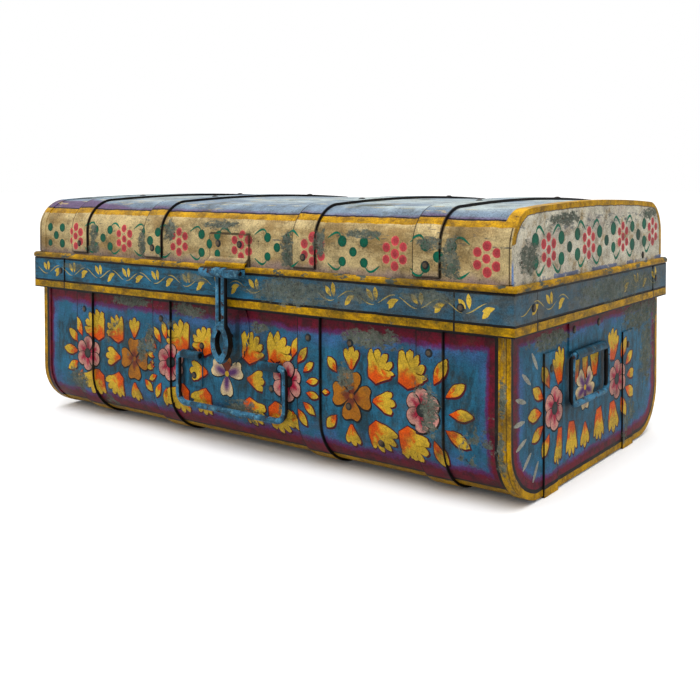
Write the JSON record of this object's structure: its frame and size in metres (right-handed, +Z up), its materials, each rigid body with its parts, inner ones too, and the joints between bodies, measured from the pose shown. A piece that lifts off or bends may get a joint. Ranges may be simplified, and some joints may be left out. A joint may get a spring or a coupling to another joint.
{
  "type": "metal trunk",
  "caption": "Painted sheet metal trunk with a domed hinged lid, hasp and staple, strapped body, drop handles on the front and both ends.",
  "frame": {"origin": "on the floor under the middle of the trunk", "axes": "+X along the length to the right seen from the front, +Y to the rear, +Z up"},
  "size_m": [0.7846, 0.4311, 0.305],
  "materials": {
    "body_paint": "worn hand-painted enamel, satin, with floral ornament",
    "strap_paint": "worn enamel over the ornament, bare dark edges",
    "rim_wire_paint": "worn enamel, satin",
    "lid_paint": "worn cream and blue enamel with floral ornament",
    "lid_strap_paint": "worn enamel, bare dark edges",
    "rim_paint": "worn blue enamel with a yellow vine",
    "bead_paint": "worn yellow enamel",
    "hardware_paint": "worn blue enamel over dark iron",
    "hinge_paint": "worn blue enamel over dark iron",
    "bare_iron": "dark worn iron",
    "rivet_iron": "dark worn iron with remains of paint"
  },
  "bodies": {
    "base": {"body_shell": "body_paint", "body_end_left": "body_paint", "body_end_right": "body_paint", "body_rim_wire": "rim_wire_paint", "body_strap_1": "strap_paint", "body_strap_2": "strap_paint", "body_strap_3": "strap_paint", "body_strap_4": "strap_paint", "end_strap_left_front": "strap_paint", "end_strap_left_rear": "strap_paint", "end_strap_right_front": "strap_paint", "end_strap_right_rear": "strap_paint", "staple_plate": "body_paint", "staple": "bare_iron", "front_clip_left": "hardware_paint", "front_clip_right": "hardware_paint", "end_plate_left": "hardware_paint", "end_plate_right": "hardware_paint", "hinge_leaf_lower_left": "hinge_paint", "hinge_leaf_lower_right": "hinge_paint", "hinge_pin_left": "bare_iron", "hinge_pin_right": "bare_iron", "body_rivets": "rivet_iron"},
    "lid": {"lid_shell": "lid_paint", "lid_end_left": "lid_paint", "lid_end_right": "lid_paint", "lid_rim": "rim_paint", "lid_bead": "bead_paint", "lid_strap_1": "lid_strap_paint", "lid_strap_2": "lid_strap_paint", "lid_strap_3": "lid_strap_paint", "lid_strap_4": "lid_strap_paint", "corner_clip_front_left": "rim_paint", "corner_clip_front_right": "rim_paint", "corner_clip_rear_left": "rim_paint", "corner_clip_rear_right": "rim_paint", "hinge_leaf_upper_left": "hinge_paint", "hinge_leaf_upper_right": "hinge_paint", "lid_rivets": "rivet_iron", "hasp_plate": "hardware_paint", "hasp_pin": "bare_iron"},
    "hasp": {"hasp_arm": "hardware_paint"},
    "front_bail": {"front_handle": "hardware_paint"},
    "left_bail": {"end_handle_left": "hardware_paint"},
    "right_bail": {"end_handle_right": "hardware_paint"}
  },
  "joints": [
    {"name": "lid_hinge", "type": "hinge", "parent": "base", "child": "lid", "pos_m": [0, 0.208, 0.173], "axis": [-1, 0, 0], "range_deg": [0, 105]},
    {"name": "hasp_hinge", "type": "hinge", "parent": "lid", "child": "hasp", "pos_m": [0, -0.2116, 0.217], "axis": [-1, 0, 0], "range_deg": [-6, 180]},
    {"name": "front_handle_hinge", "type": "hinge", "parent": "base", "child": "front_bail", "pos_m": [0, -0.1998, 0.111], "axis": [-1, 0, 0], "range_deg": [0, 158]},
    {"name": "left_handle_hinge", "type": "hinge", "parent": "base", "child": "left_bail", "pos_m": [-0.3868, -0.026, 0.137], "axis": [0, 1, 0], "range_deg": [0, 169]},
    {"name": "right_handle_hinge", "type": "hinge", "parent": "base", "child": "right_bail", "pos_m": [0.3868, -0.026, 0.137], "axis": [0, -1, 0], "range_deg": [0, 169]}
  ]
}
